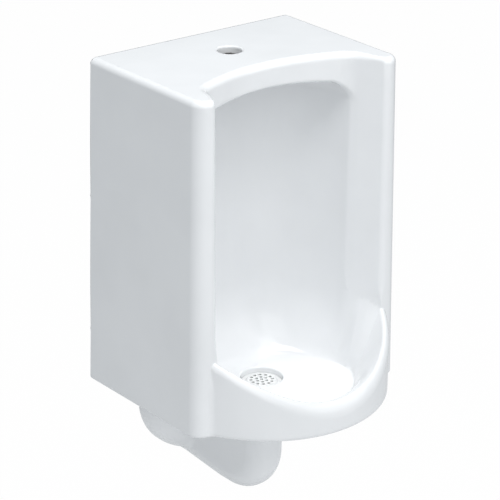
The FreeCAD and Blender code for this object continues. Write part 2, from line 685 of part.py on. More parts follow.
# The wall hangers: strips bent out and up into hooks, each held by two screws with washers.
HOOK_INSIDE = "(rail_thick + hanger_gap)"
HANGER_BOTTOM = f"({SEAT_ON_HANGER} - hanger_tail)"
SCREW_HEIGHTS = (f"({SEAT_ON_HANGER} - screw_drop)", f"({SEAT_ON_HANGER} - screw_drop - screw_pitch)")
OUTER_BEND = "hanger_bend + hanger_thick"
for name, side in (("left_hanger", "-"), ("right_hanger", "")):
    hanger = new_body(name)
    hook_side = sketch_on(hanger, "hook_side", "YZ_Plane", f"{side}hanger_spread")
    draw(hook_side, [
        Corner("0", HANGER_BOTTOM),
        Corner("0", SEAT_ON_HANGER, OUTER_BEND),
        Corner(f"-{HOOK_INSIDE}", SEAT_ON_HANGER, "hanger_bend"),
        Corner(f"-{HOOK_INSIDE}", f"{SEAT_ON_HANGER} + hanger_lip"),
        Corner(f"-({HOOK_INSIDE} + hanger_thick)", f"{SEAT_ON_HANGER} + hanger_lip"),
        Corner(f"-({HOOK_INSIDE} + hanger_thick)", f"{SEAT_ON_HANGER} - hanger_thick", OUTER_BEND),
        Corner("-hanger_thick", f"{SEAT_ON_HANGER} - hanger_thick", "hanger_bend"),
        Corner("-hanger_thick", HANGER_BOTTOM),
    ])
    feature(hanger, "Pad", "strip", Profile=hook_side, SideType="Symmetric", Length="hanger_width")
    drilled(hanger, "screw_holes", [(f"{side}hanger_spread", z) for z in SCREW_HEIGHTS], "hanger_hole",
            "0", "hanger_thick")

SCREW_PLACES = [(f"{side}hanger_spread", z) for side in ("-", "") for z in SCREW_HEIGHTS]
screw_washers = new_body("hanger_washers")
drilled(screw_washers, "discs", SCREW_PLACES, "screw_washer_radius", "hanger_thick", "screw_washer_thick")
drilled(screw_washers, "washer_holes", SCREW_PLACES, "hanger_hole", "hanger_thick", "screw_washer_thick")

screws = new_body("hanger_screws")
UNDER_HEAD = "(hanger_thick + screw_washer_thick)"
drilled(screws, "shanks", SCREW_PLACES, "screw_radius", "-screw_length", "screw_length")
drilled(screws, "necks", SCREW_PLACES, "screw_neck", "0", UNDER_HEAD)
drilled(screws, "heads", SCREW_PLACES, "screw_head_radius", UNDER_HEAD, "screw_head_height")

# Every object is checked, and each piece is then written under its own name.
for thing in doc.Objects:
    if "Invalid" in thing.State or "Error" in thing.State:
        raise ValueError(f"{thing.Label} is {thing.State}")
os.makedirs("parts", exist_ok=True)
for body in doc.findObjects("PartDesign::Body"):
    if body.Shape.isNull() or not body.Shape.isValid():
        raise ValueError(f"{body.Label} has no valid shape")
    body.Shape.exportStep(f"parts/{body.Label}.step")
    print(f"{body.Label}: {len(body.Shape.Solids)} solids, {body.Shape.Volume / 1000:.1f} cm3")
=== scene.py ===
"""A wall hung urinal of white vitreous china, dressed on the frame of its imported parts.

The china is one smooth skin found from a distance field, because a slip casting has no sharp edges.
Sizes are in millimetres, heights run up from the foot of the box, and the mesh is put in metres at the end.
"""

import logging
import math
from dataclasses import dataclass, field
from enum import Enum
from typing import Sequence

import bpy
import numpy as np
from mathutils import Matrix, Vector

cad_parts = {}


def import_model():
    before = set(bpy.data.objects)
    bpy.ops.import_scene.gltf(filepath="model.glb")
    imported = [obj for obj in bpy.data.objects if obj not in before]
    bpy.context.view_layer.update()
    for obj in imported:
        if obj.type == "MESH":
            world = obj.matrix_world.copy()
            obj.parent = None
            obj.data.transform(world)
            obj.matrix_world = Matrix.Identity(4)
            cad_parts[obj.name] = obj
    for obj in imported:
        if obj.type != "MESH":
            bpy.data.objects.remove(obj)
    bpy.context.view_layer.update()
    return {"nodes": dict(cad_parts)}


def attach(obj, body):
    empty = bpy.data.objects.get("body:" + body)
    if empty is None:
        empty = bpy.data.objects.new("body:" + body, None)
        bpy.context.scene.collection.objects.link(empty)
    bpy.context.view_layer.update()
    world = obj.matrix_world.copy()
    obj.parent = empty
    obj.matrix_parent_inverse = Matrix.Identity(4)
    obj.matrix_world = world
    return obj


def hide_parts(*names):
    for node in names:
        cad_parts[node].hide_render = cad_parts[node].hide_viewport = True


LOG = logging.getLogger("urinal")
Array = np.ndarray
Colour = tuple[float, float, float]
Span = tuple[float, float]
MM_IN_METRE = 1000


# ---------------------------------------------------------------- shader maths


class Wire:
    """A shader value that can be used in Python sums, each of which adds a Math node."""

    def __init__(self, maker: "Finisher", socket: bpy.types.NodeSocket) -> None:
        """Wraps an output socket.

        Args:
            maker: the material that the socket is in.
            socket: the output.
        """
        self.maker = maker
        self.socket = socket

    def _sum(self, operation: str, first: "Wire | float", second: "Wire | float") -> "Wire":
        """One Math node. Returns its value."""
        return self.maker.add("ShaderNodeMath", {"operation": operation}, {0: first, 1: second})

    def __add__(self, other: "Wire | float") -> "Wire":
        """self + other."""
        return self._sum("ADD", self, other)

    def __radd__(self, other: "Wire | float") -> "Wire":
        """other + self."""
        return self._sum("ADD", other, self)

    def __sub__(self, other: "Wire | float") -> "Wire":
        """self - other."""
        return self._sum("SUBTRACT", self, other)

    def __rsub__(self, other: "Wire | float") -> "Wire":
        """other - self."""
        return self._sum("SUBTRACT", other, self)

    def __mul__(self, other: "Wire | float") -> "Wire":
        """self * other."""
        return self._sum("MULTIPLY", self, other)

    def __rmul__(self, other: "Wire | float") -> "Wire":
        """other * self."""
        return self._sum("MULTIPLY", other, self)


class Finisher:
    """Builds one material, node by node."""

    def __init__(self, name: str) -> None:
        """Makes an empty material.

        Args:
            name: what the material is called.
        """
        self.material = bpy.data.materials.new(name)
        self.material.use_nodes = True
        self.tree = self.material.node_tree
        self.tree.nodes.clear()

    def add(self, kind: str, settings: dict[str, object] | None = None,
            inputs: dict[object, object] | None = None, output: object = 0) -> Wire:
        """Adds a node.

        Args:
            kind: the node's type.
            settings: its own settings; "stops" fills a ramp with (place, colour) pairs.
            inputs: values or wires for its sockets, by name or number.
            output: which output is returned.

        Returns:
            The chosen output.
        """
        node = self.tree.nodes.new(kind)
        for key, value in (settings or {}).items():
            if key == "stops":
                self._fill_ramp(node, value)
            else:
                setattr(node, key, value)
        for key, value in (inputs or {}).items():
            if isinstance(value, Wire):
                self.tree.links.new(value.socket, node.inputs[key])
            else:
                node.inputs[key].default_value = value
        return Wire(self, node.outputs[output])

    @staticmethod
    def _fill_ramp(node: bpy.types.Node, stops: Sequence[tuple[float, Sequence[float]]]) -> None:
        """Sets a ramp's stops.

        Args:
            node: the Color Ramp.
            stops: places and colours, in order.
        """
        elements = node.color_ramp.elements
        for k, (place, colour) in enumerate(stops):
            element = elements[k] if k < 2 else elements.new(place)
            element.position = place
            element.color = colour

    def place(self) -> Wire:
        """The point on the object, in metres."""
        return self.add("ShaderNodeTexCoord", output="Object")

    def noise(self, size: float, detail: float = 3.0, roughness: float = 0.5,
              where: Wire | None = None) -> Wire:
        """Cloudy noise.

        Args:
            size: the width of its blobs, in metres.
            detail: how many finer layers it has.
            roughness: how strong those are.
            where: the point to read it at.

        Returns:
            A value from 0 to 1.
        """
        return self.add("ShaderNodeTexNoise", None, {
            "Vector": where or self.place(), "Scale": 1 / size, "Detail": detail, "Roughness": roughness})

    def spread(self, value: Wire, low: float, high: float, to_low: float, to_high: float) -> Wire:
        """Maps low..high to to_low..to_high, held at the ends."""
        return self.add("ShaderNodeMapRange", {"clamp": True}, {
            "Value": value, "From Min": low, "From Max": high, "To Min": to_low, "To Max": to_high})

    def blend(self, share: Wire, first: Wire | Colour, second: Colour) -> Wire:
        """Mixes two colours by a share from 0 to 1."""
        start = first if isinstance(first, Wire) else (*first, 1.0)
        return self.add("ShaderNodeMix", {"data_type": "RGBA"}, {
            "Factor": share, 6: start, 7: (*second, 1.0)}, output=2)

    def bump(self, height: Wire, depth: float, strength: float = 1.0) -> Wire:
        """A normal that follows a height from 0 to 1, which stands depth metres."""
        return self.add("ShaderNodeBump", None, {"Height": height, "Distance": depth, "Strength": strength})

    def close(self, **sockets: object) -> bpy.types.Material:
        """Adds the surface shader and ends the material.

        Args:
            sockets: the shader's sockets, with _ for a space.

        Returns:
            The material.
        """
        inputs = {key.replace("_", " "): value for key, value in sockets.items()}
        surface = self.add("ShaderNodeBsdfPrincipled", None, inputs)
        self.add_output(surface)
        return self.material

    def add_output(self, surface: Wire) -> None:
        """Joins a surface to the material's output."""
        output = self.tree.nodes.new("ShaderNodeOutputMaterial")
        self.tree.links.new(surface.socket, output.inputs["Surface"])


# ---------------------------------------------------------------- finishes


@dataclass(frozen=True)
class GlazedChina:
    """White glaze: glassy, very slightly wavy where it flowed, with rare pinholes.

    The clay is bare inside the flush chamber, whose box is given by its low and high corners in metres: matt
    and without a coat there, and given a dark colour that is painted shade for the closed chamber.
    """

    white: Colour = (0.865, 0.875, 0.885)
    thin_white: Colour = (0.835, 0.845, 0.855)
    gloss: float = 0.07
    cloud_size: float = 0.12
    speck_size: float = 0.0035
    wave_size: float = 0.045
    wave_depth: float = 0.00035
    pits_a_metre: float = 90.0
    pit_depth: float = 0.02
    coat: float = 0.35
    coat_rough: float = 0.03
    # Painted shade: the dark colour given to the inside of the closed flush chamber.
    painted_chamber_shade: Colour = (0.24, 0.23, 0.215)
    raw_rough: float = 0.7
    chamber_box_low: tuple[float, float, float] = (-0.163, -0.153, 0.0945)
    chamber_box_high: tuple[float, float, float] = (0.163, -0.008, 0.1105)
    chamber_box_fade: float = 0.002

    def material(self) -> bpy.types.Material:
        """Builds the glaze."""
        make = Finisher("glazed_china")
        cloud = make.noise(self.cloud_size, 2.0)
        speck = make.noise(self.speck_size, 2.0)
        glaze = make.blend(make.spread(cloud, 0.35, 0.65, 0.0, 1.0), self.white, self.thin_white)
        rough = make.spread(speck, 0.3, 0.7, self.gloss * 0.8, self.gloss * 1.4)
        bare_and_shaded = self.in_chamber(make)
        # Inside the flush chamber the colour is painted shade; the roughness and the missing coat are the
        # bare clay's own.
        colour = make.blend(bare_and_shaded, glaze, self.painted_chamber_shade)
        rough = rough + bare_and_shaded * (self.raw_rough - self.gloss)
        wave = make.noise(self.wave_size, 1.0)
        pits = make.add("ShaderNodeTexVoronoi", {"feature": "F1"},
                        {"Vector": make.place(), "Scale": self.pits_a_metre})
        height = wave + self.pit_depth * make.spread(pits, 0.02, 0.05, 0.0, 1.0)
        return make.close(Base_Color=colour, Roughness=rough, Normal=make.bump(height, self.wave_depth),
                          IOR=1.5, Coat_Weight=self.coat * (1 - bare_and_shaded), Coat_Roughness=self.coat_rough)

    def in_chamber(self, make: Finisher) -> Wire:
        """1 inside the flush chamber, where the clay is bare and its dark colour is painted shade, and 0
        elsewhere.
        """
        share = None
        for axis, low, high in zip("XYZ", self.chamber_box_low, self.chamber_box_high):
            along = make.add("ShaderNodeSeparateXYZ", None, {"Vector": make.place()}, output=axis)
            above_low = make.spread(along, low - self.chamber_box_fade, low, 0.0, 1.0)
            inside = above_low * make.spread(along, high, high + self.chamber_box_fade, 1.0, 0.0)
            share = inside if share is None else share * inside
        return share


@dataclass(frozen=True)
class MouldedPlastic:
    """Moulded plastic with a fine spark-eroded grain."""

    name: str
    colour: Colour
    rough: float
    grain_depth: float = 0.00003
    grain_size: float = 0.0009
    cloud_size: float = 0.02
    darkest: float = 0.94

    def material(self) -> bpy.types.Material:
        """Builds the plastic."""
        make = Finisher(self.name)
        cloud = make.noise(self.cloud_size, 3.0)
        grain = make.noise(self.grain_size, 4.0, 0.6)
        darker = tuple(part * self.darkest for part in self.colour)
        colour = make.blend(make.spread(cloud, 0.35, 0.65, 0.0, 1.0), self.colour, darker)
        rough = make.spread(grain, 0.3, 0.7, self.rough * 0.85, self.rough * 1.2)
        return make.close(Base_Color=colour, Roughness=rough,
                          Normal=make.bump(grain, self.grain_depth), IOR=1.46)


@dataclass(frozen=True)
class BlackRubber:
    """Dense rubber, dull, with a powdery bloom in patches."""

    black: Colour = (0.022, 0.022, 0.024)
    bloom: Colour = (0.055, 0.055, 0.058)
    patch_size: float = 0.006
    grain_size: float = 0.0006
    grain_depth: float = 0.00004
    rough: float = 0.62
    bloom_rough: float = 0.2

    def material(self) -> bpy.types.Material:
        """Builds the rubber."""
        make = Finisher("black_rubber")
        cloud = make.noise(self.patch_size, 5.0, 0.65)
        grain = make.noise(self.grain_size, 3.0)
        patch = make.spread(cloud, 0.45, 0.7, 0.0, 1.0)
        colour = make.blend(patch, self.black, self.bloom)
        return make.close(Base_Color=colour, Roughness=self.rough + self.bloom_rough * patch,
                          Normal=make.bump(grain, self.grain_depth), IOR=1.5)


@dataclass(frozen=True)
class ZincPlate:
    """Zinc plated steel: satin, faintly spangled, with level rolling lines."""

    bright: Colour = (0.60, 0.61, 0.62)
    dull: Colour = (0.44, 0.45, 0.47)
    tint: Colour = (0.56, 0.55, 0.48)
    tint_share: float = 0.35
    spangles_a_metre: float = 260.0
    cloud_size: float = 0.012
    line_length: float = 0.02
    line_squeeze: float = 30.0
    line_depth: float = 0.00003

    def material(self) -> bpy.types.Material:
        """Builds the plating."""
        make = Finisher("zinc_plate")
        cells = make.add("ShaderNodeTexVoronoi", {"feature": "F1"},
                         {"Vector": make.place(), "Scale": self.spangles_a_metre}, output="Color")
        spangle = make.add("ShaderNodeSeparateColor", None, {"Color": cells})
        cloud = make.noise(self.cloud_size, 4.0)
        plate = make.blend(make.spread(cloud, 0.35, 0.7, 0.0, 1.0), self.bright, self.dull)
        colour = make.blend(self.tint_share * spangle, plate, self.tint)
        squeezed = make.add("ShaderNodeMapping", None, {
            "Vector": make.place(), "Scale": (1.0, 1.0, self.line_squeeze)})
        lines = make.noise(self.line_length, 4.0, 0.6, squeezed)
        rough = make.spread(lines, 0.3, 0.7, 0.26, 0.42)
        return make.close(Base_Color=colour, Metallic=1.0, Roughness=rough,
                          Normal=make.bump(lines, self.line_depth))


class Finish(Enum):
    """The finishes of the urinal's pieces, by the slot of the record that each belongs to."""

    CHINA = "china"
    STRAINER = "white_plastic"
    FLANGE = "flange_plastic"
    RUBBER = "rubber"
    ZINC = "zinc_steel"


RECIPES: dict[Finish, GlazedChina | MouldedPlastic | BlackRubber | ZincPlate] = {
    Finish.CHINA: GlazedChina(),
    Finish.STRAINER: MouldedPlastic("white_plastic", (0.84, 0.845, 0.84), 0.22),
    Finish.FLANGE: MouldedPlastic("flange_plastic", (0.66, 0.66, 0.63), 0.38, 0.00005),
    Finish.RUBBER: BlackRubber(),
    Finish.ZINC: ZincPlate(),
}


# ---------------------------------------------------------------- solids as distances


def rounded(a: Array, b: Array, radius: Array | float) -> Array:
    """The overlap of two solids, its edge rounded.

    Within a radius of both faces, the distance is that from a circle of that radius which touches both.

    Args:
        a: signed distance to the first solid, below 0 inside it.
        b: signed distance to the second.
        radius: of the edge; a number, or one for each point.

    Returns:
        The signed distance to what both hold.
    """
    past_both = np.hypot(np.maximum(radius + a, 0), np.maximum(radius + b, 0))
    return np.minimum(-radius, np.maximum(a, b)) + past_both


def joined(a: Array, b: Array, radius: Array | float) -> Array:
    """Two solids together, with a fillet where they meet."""
    return -rounded(-a, -b, radius)


def rounded_at(a: Array, b: Array, across: float, radius: float) -> Array:
    """The overlap of two solids whose flat faces meet at any angle, its edge a true circle.

    Args:
        a: signed distance to the first face.
        b: signed distance to the second.
        across: the cosine of the angle between the faces' normals.
        radius: of the edge.

    Returns:
        The signed distance.
    """
    s, t, left = a + radius, b + radius, 1 - across ** 2
    corner = np.sqrt(np.maximum(s * s + t * t - 2 * across * s * t, 0) / left) - radius
    return np.where((s > across * t) & (t > across * s), corner, np.maximum(a, b))


def ramp(value: Array, span: Span) -> Array:
    """A smooth step from 0 at the span's start to 1 at its end, which may be the lower of the two."""
    start, end = span
    share = np.clip((value - start) / (end - start), 0, 1)
    return share * share * (3 - 2 * share)


def arc_radius(half_chord: float, rise: float) -> float:
    """The radius of an arc over a chord."""
    return (half_chord ** 2 + rise ** 2) / (2 * rise)


@dataclass
class BowlOutline:
    """One level outline of the bowl: half a width, a curved back, splayed sides and an arc in front."""

    half: float
    back: float
    back_curve: float
    crease: float
    splay: float
    front: float
    front_curve: float
    soft: float = 3.0

    def distance(self, x: Array, y: Array, shrink: Array | float = 0.0) -> Array:
        """Signed distance in plan.

        Args:
            x: half widths, all above 0.
            y: depths, below 0 in front of the wall.
            shrink: how far the splayed sides are drawn in.

        Returns:
            The distance, below 0 inside the outline.
        """
        lean = math.cos(math.atan(self.splay))
        splayed = (x - self.half - (-y - self.crease) * self.splay) * lean + shrink
        side = joined(x - self.half, splayed, self.soft)
        arc = np.hypot(x, y + self.front - self.front_curve) - self.front_curve
        return rounded(rounded(side, y + self.back, self.back_curve), arc, self.soft)


@dataclass
class ChinaSizes:
    """The casting's sizes, then the radii of its edges and the places between which they change."""

    height: float = 492.0
    back_half: float = 180.0
    front_half: float = 179.0
    depth: float = 250.0
    flare: float = 7.2
    corner: float = 21.0
    top_round: float = 9.0
    wall: float = 10.0
    lintel_apex: float = 149.0
    lintel_curve: float = 280.0
    lintel_half: float = 129.5
    lintel_end: float = 196.0
    lintel_corner: float = 35.0
    lintel_height: float = 37.5
    lintel_arch: float = 7.5
    wing_half: float = 152.0
    recess_floor: float = 112.0
    alcove_half: float = 131.0
    alcove_depth: float = 69.0
    alcove_curve: float = 120.0
    ceiling_round: float = 28.0
    lip_half: float = 166.0
    lip_root: float = 246.0
    lip_reach: float = 356.0
    rim_front: float = 36.0
    rim_curve: float = 330.0
    lip_wall: float = 9.0
    lip_round: float = 8.0
    bowl_floor: float = 14.0
    bowl_side_in: float = 12.0
    bowl_back_in: float = 66.0
    bowl_front_in: float = 40.0
    drain: float = 170.0
    drain_radius: float = 31.0
    seat: float = 1.0
    passage: float = 25.0
    keel_half: float = 31.0
    trap_bottom: float = 148.0
    trap_bend: float = 45.0
    trap_turn: float = 100.0
    weir: float = 48.0
    keel_end: float = 140.0
    outlet_drop: float = 60.0
    collar: float = 100.0
    collar_depth: float = 50.0
    collar_curve: float = 40.0
    horn: float = 36.0
    horn_face: float = 22.0
    bolt_out: float = 50.0
    bolt_hole: float = 5.5
    slab: float = 12.0
    chamber_half: float = 158.0
    chamber_front: float = 148.0
    inlet: float = 18.0
    inlet_depth: float = 86.0
    wash_hole: float = 3.0
    wash_depth: float = 92.0
    wash_pitch: float = 18.0
    wash_count: int = 7
    hollow_front: float = 192.0
    rail_bottom: float = 400.0
    rail_thick: float = 14.0
    notch_depth: float = 4.0
    hook_out: float = 95.0
    hook_half: float = 24.0
    screw_middle: float = 370.0

    # Radii of edges and fillets. A pair is a radius and how much it grows over the span named after it,
    # which runs up or down z, or along y where it is negative.
    sharp: float = 0.3
    wall_edge: float = 1.5
    foot_edge: float = 4.0
    lip_foot_edge: float = 6.0
    lip_root_edge: float = 1.0
    lip_fillet: Span = (0.5, 5.0)
    lip_fillet_span: Span = (105.0, 70.0)
    wing_edge: Span = (6.0, 4.0)
    wing_edge_span: Span = (-235.0, -195.0)
    wing_foot_span: Span = (120.0, 150.0)
    rim_edge: float = 4.0
    rim_margin: float = 8.0
    crest_edge: float = 3.7
    crest_span: Span = (-245.0, -262.0)
    crest_top_span: Span = (150.0, 125.0)
    alcove_edge: float = 4.5
    alcove_edge_span: Span = (130.0, 165.0)
    alcove_draft: float = 0.35
    draft_start: float = 15.0
    hollow_corner: float = 4.0
    hollow_end: float = 6.0
    hollow_edge: float = 2.5
    rail_edge: float = 3.0
    chamber_corner: float = 10.0
    chamber_edge: float = 3.0
    keel_flat: float = 1.0
    keel_root: float = 6.0
    keel_fillet: float = 3.0
    collar_fillet: float = 7.0
    cut_edge: float = 2.0
    bolt_edge: float = 0.8
    well_top: float = 20.0
    cut_past: float = 4.0

    # How far the splayed wing's face looks across and forwards, near enough to round its corner.
    wing_normal: tuple[float, float] = (0.9, 0.43)

    # The bowl's wall: the power of its curve at the back, and how much that falls towards the front.
    bowl_power: tuple[float, float] = (2.0, 0.92)
    bowl_power_span: Span = (-196.0, -226.0)


@dataclass
class ChinaBody:
    """The casting's skin."""

    sizes: ChinaSizes = field(default_factory=ChinaSizes)
    cell: float = 3.0
    fine_cell_across: float = 2.0
    fine_cell_deep: float = 1.5
    slope_step: float = 0.4
    settling_moves: int = 3
    longest_move: float = 0.45
    least_steepness: float = 0.05

    def outside(self, x: Array, y: Array, z: Array) -> Array:
        """The box and the lip, before anything is cut: flat faces that lean out downwards, and an arc.

        Args:
            x: half widths.
            y: depths.
            z: heights.

        Returns:
            The signed distance.
        """
        s = self.sizes
        low = 1 - z / s.height
        front = s.depth + s.flare * low
        half = s.back_half + s.flare * low + (s.front_half - s.back_half) * (-y / front)
        box = rounded(x - half, -y - front, s.corner)
        box = rounded(rounded(box, z - s.height, s.top_round), -z, s.foot_edge)
        box = rounded(box, y, s.wall_edge)
        plan = np.hypot(x, y + s.lip_reach - self.lip_curve()) - self.lip_curve()
        lip = rounded(rounded(plan, self.rim(y, z), s.lip_round), -z, s.lip_foot_edge)
        least, growth = s.lip_fillet
        fillet = least + growth * ramp(z, s.lip_fillet_span)
        return joined(box, rounded(lip, y + s.lip_root, s.lip_root_edge), fillet)

    def lip_curve(self) -> float:
        """The radius of the lip in plan."""
        s = self.sizes
        return arc_radius(s.lip_half, s.lip_reach - s.lip_root)

    def rim(self, y: Array, z: Array) -> Array:
        """How far a point is above the rim's slope, which is one large circle seen from the side."""
        centre_y, centre_z = self.rim_centre()
        return np.hypot(y - centre_y, z - centre_z) - self.sizes.rim_curve

    def rim_centre(self) -> tuple[float, float]:
        """The middle of the circle that the rim's slope follows, from the wings' foot to the lip's tip."""
        s = self.sizes
        start = s.depth + s.flare * (1 - s.recess_floor / s.height)
        run, rise = s.lip_reach - start, s.recess_floor - s.rim_front
        chord = math.hypot(run, rise)
        drop = math.sqrt(s.rim_curve ** 2 - chord ** 2 / 4)
        middle_y, middle_z = -(s.lip_reach + start) / 2, (s.recess_floor + s.rim_front) / 2
        return middle_y + drop * rise / chord, middle_z - drop * run / chord

    def rim_height(self, y: Array) -> Array:
        """How high the rim stands at a depth: that of the recess's floor, and less towards the lip's tip."""
        s = self.sizes
        centre_y, centre_z = self.rim_centre()
        slope = centre_z + np.sqrt(np.maximum(s.rim_curve ** 2 - (y - centre_y) ** 2, 0))
        return np.clip(slope, s.rim_front - s.rim_margin, s.recess_floor + s.rim_margin)

    def recess(self, x: Array, y: Array, z: Array) -> Array:
        """What is open between the wings, in front of the concave lintel and above the rim.

        Args:
            x: half widths.
            y: depths.
            z: heights.

        Returns:
            The signed distance.
        """
        s = self.sizes
        slope = math.atan2(s.lintel_end - s.lintel_apex, s.lintel_half)
        flat = x * math.sin(slope) + (y + s.lintel_apex) * math.cos(slope)
        centre = s.lintel_apex + s.lintel_curve / math.cos(slope)
        curved = np.hypot(x, y + centre) - s.lintel_curve
        lintel = np.where(x < (y + centre) * math.tan(slope), curved, flat)
        front = s.depth + s.flare * (1 - z / s.height)
        splay = (s.wing_half - s.lintel_half) / (front - s.lintel_end)
        lean = 1 / np.sqrt(1 + splay ** 2)
        wing = (x - s.lintel_half - (-y - s.lintel_end) * splay) * lean
        across = math.sin(slope) * s.wing_normal[0] + math.cos(slope) * s.wing_normal[1]
        return rounded(rounded_at(lintel, wing, across, s.lintel_corner), self.rim_height(y) - z, s.rim_edge)

    def alcove(self, x: Array, y: Array, z: Array) -> Array:
        """The alcove and the bowl in one: upright above the rim, and curved from there to the floor.

        A point's share of the way from the floor's outline to the rim's, and its share of the way down from
        the rim, each to a power, sum to 1 on the bowl's wall. The power is 2 at the back, a quarter of an
        ellipse, and lower in front, where the wall is nearly straight.

        Args:
            x: half widths.
            y: depths.
            z: heights.

        Returns:
            The signed distance.
        """
        s = self.sizes
        front = s.depth + s.flare * (1 - s.recess_floor / s.height)
        splay = (s.wing_half - s.lintel_half) / (front - s.lintel_end)
        crease = s.lintel_end + (s.alcove_half - s.lintel_half) / splay
        rim = BowlOutline(s.alcove_half, s.alcove_depth, s.alcove_curve, crease, splay,
                          s.lip_reach - s.lip_wall, self.lip_curve() - s.lip_wall)
        floor = BowlOutline(s.alcove_half - s.bowl_side_in, s.alcove_depth + s.bowl_back_in,
                            s.alcove_curve - s.bowl_side_in, crease, 0.0,
                            s.lip_reach - s.lip_wall - s.bowl_front_in,
                            self.lip_curve() - s.lip_wall - s.bowl_front_in)
        outer = rim.distance(x, y, s.alcove_draft * np.maximum(z - s.recess_floor - s.draft_start, 0))
        inner = floor.distance(x, y)
        gap = np.maximum(inner - outer, 1.0)
        most, fade = s.bowl_power
        power = most - fade * ramp(y, s.bowl_power_span)
        top = self.rim_height(y)
        fall = top - s.bowl_floor
        across = np.maximum(inner, 0) / gap
        down = np.maximum(top - z, 0) / fall
        reach = np.maximum((across ** power + down ** power) ** (1 / power), 1e-3)
        steep = np.hypot((across / reach) ** (power - 1) / gap, (down / reach) ** (power - 1) / fall)
        void = (reach - 1) / np.maximum(steep, 1 / fall)
        arch = s.lintel_arch * (x / s.alcove_half) ** 2
        return rounded(void, z + arch - (s.height - s.lintel_height), s.ceiling_round)

    def hollows(self, x: Array, y: Array, z: Array) -> Array:
        """The open back, between the alcove's wall and the sides, with the rail and its two notches.

        Args:
            x: half widths.
            y: depths.
            z: heights.

        Returns:
            The signed distance.
        """
        s = self.sizes
        shell = rounded(x - s.alcove_half - s.wall, y + s.alcove_depth - s.wall, s.alcove_curve + s.wall)
        taper = (s.front_half - s.back_half) * (s.wall - y) / (s.hollow_front + s.wall)
        inner_half = s.back_half - s.wall + taper
        plan = rounded(rounded(-shell, x - inner_half, s.hollow_corner), -(y + s.hollow_front), s.hollow_end)
        low = rounded(plan, z - s.rail_bottom, s.rail_edge)
        high = rounded(plan, y + s.rail_thick, s.rail_edge)
        high = rounded(high, z - (s.height - s.lintel_height), s.hollow_end)
        notch = np.maximum(np.abs(x - s.hook_out) - s.hook_half, np.abs(z - s.rail_bottom) - s.notch_depth)
        return np.minimum(np.minimum(low, high), np.maximum(notch, -y - s.rail_thick - s.wall))

    def chamber(self, x: Array, y: Array, z: Array) -> Array:
        """The flush chamber in the top, its inlet and its wash holes.

        Args:
            x: positions across, both sides of the middle.
            y: depths.
            z: heights.

        Returns:
            The signed distance.
        """
        s = self.sizes
        low, high = s.height - s.lintel_height + s.wall, s.height - s.slab
        deep = (s.chamber_front - s.rail_thick) / 2
        middle = (s.chamber_front + s.rail_thick) / 2
        room = rounded(np.abs(x) - s.chamber_half, np.abs(y + middle) - deep, s.chamber_corner)
        room = rounded(room, np.abs(z - (low + high) / 2) - (high - low) / 2, s.chamber_edge)
        inlet = np.maximum(np.hypot(x, y + s.inlet_depth) - s.inlet, high - s.chamber_edge - z)
        reach = s.wash_pitch * (s.wash_count - 1) / 2
        nearest = np.clip(np.round((x + reach) / s.wash_pitch), 0, s.wash_count - 1) * s.wash_pitch - reach
        wash = np.hypot(x - nearest, y + s.wash_depth) - s.wash_hole
        wash = np.maximum(wash, np.abs(z - low) - s.wall - s.cut_past)
        return np.minimum(np.minimum(room, inlet), wash)

    def trap(self, x: Array, y: Array, z: Array) -> Array:
        """The keel, flat sided and fully rounded in front and below, with the collar round the outlet.

        Args:
            x: half widths.
            y: depths.
            z: heights.

        Returns:
            The signed distance.
        """
        s = self.sizes
        nose = -y - s.drain - s.keel_half
        bottom = -z - s.trap_bottom - s.keel_half
        side = rounded(nose, bottom, s.trap_bend + s.keel_half)
        tilt = math.atan2(s.trap_bottom - s.keel_end, s.trap_turn)
        rising = (-z - s.keel_end - s.keel_half + y * math.tan(tilt)) * math.cos(tilt)
        side = rounded(side, rising, s.keel_fillet)
        keel = rounded(x - s.keel_half, side, s.keel_half - s.keel_flat)
        keel = np.maximum(np.maximum(keel, z - s.keel_root), y)
        round_outlet = np.hypot(x, z + s.outlet_drop)
        collar = rounded(round_outlet - s.collar, -y - s.collar_depth, s.collar_curve)
        collar = rounded(collar, y, s.wall_edge)
        pocket = rounded(round_outlet - s.collar + s.slab, -y - s.collar_depth + s.slab,
                         s.collar_depth - 2 * s.slab)
        horn = rounded(round_outlet - s.horn, y + s.horn_face, s.wall_edge)
        pocket = rounded(pocket, -horn, s.wall_edge)
        bolts = np.hypot(x - s.bolt_out, z + s.outlet_drop) - s.bolt_hole
        bolts = np.maximum(bolts, -y - s.collar_depth - s.cut_past)
        solid = rounded(joined(keel, collar, s.collar_fillet), -pocket, s.cut_edge)
        return rounded(solid, -bolts, s.bolt_edge)

    def water_way(self, x: Array, y: Array, z: Array) -> Array:
        """The drain's well, and the round passage down, along, over the weir and out.

        Args:
            x: half widths.
            y: depths.
            z: heights.

        Returns:
            The signed distance.
        """
        s = self.sizes
        well = np.maximum(np.hypot(x, y + s.drain) - s.drain_radius, s.seat - z)
        well = np.maximum(well, z - s.bowl_floor - s.well_top)
        bend_y, bend_z = -(s.drain - s.trap_bend), -(s.trap_bottom - s.trap_bend)
        turned = (y < bend_y) & (z < bend_z)
        bend = np.abs(np.hypot(y - bend_y, z - bend_z) - s.trap_bend)
        legs = (
            ((-s.drain, s.bowl_floor), (-s.drain, bend_z)),
            ((bend_y, -s.trap_bottom), (-s.trap_turn, -s.trap_bottom)),
            ((-s.trap_turn, -s.trap_bottom), (-s.weir, -s.outlet_drop)),
            ((-s.weir, -s.outlet_drop), (s.cut_past, -s.outlet_drop)),
        )
        nearest = np.where(turned, bend, np.inf)
        for (y0, z0), (y1, z1) in legs:
            long = (y1 - y0) ** 2 + (z1 - z0) ** 2
            along = np.clip(((y - y0) * (y1 - y0) + (z - z0) * (z1 - z0)) / long, 0, 1)
            nearest = np.minimum(nearest, np.hypot(y - y0 - along * (y1 - y0), z - z0 - along * (z1 - z0)))
        passage = np.maximum(np.hypot(x, nearest) - s.passage, z - s.bowl_floor)
        return np.minimum(well, passage)

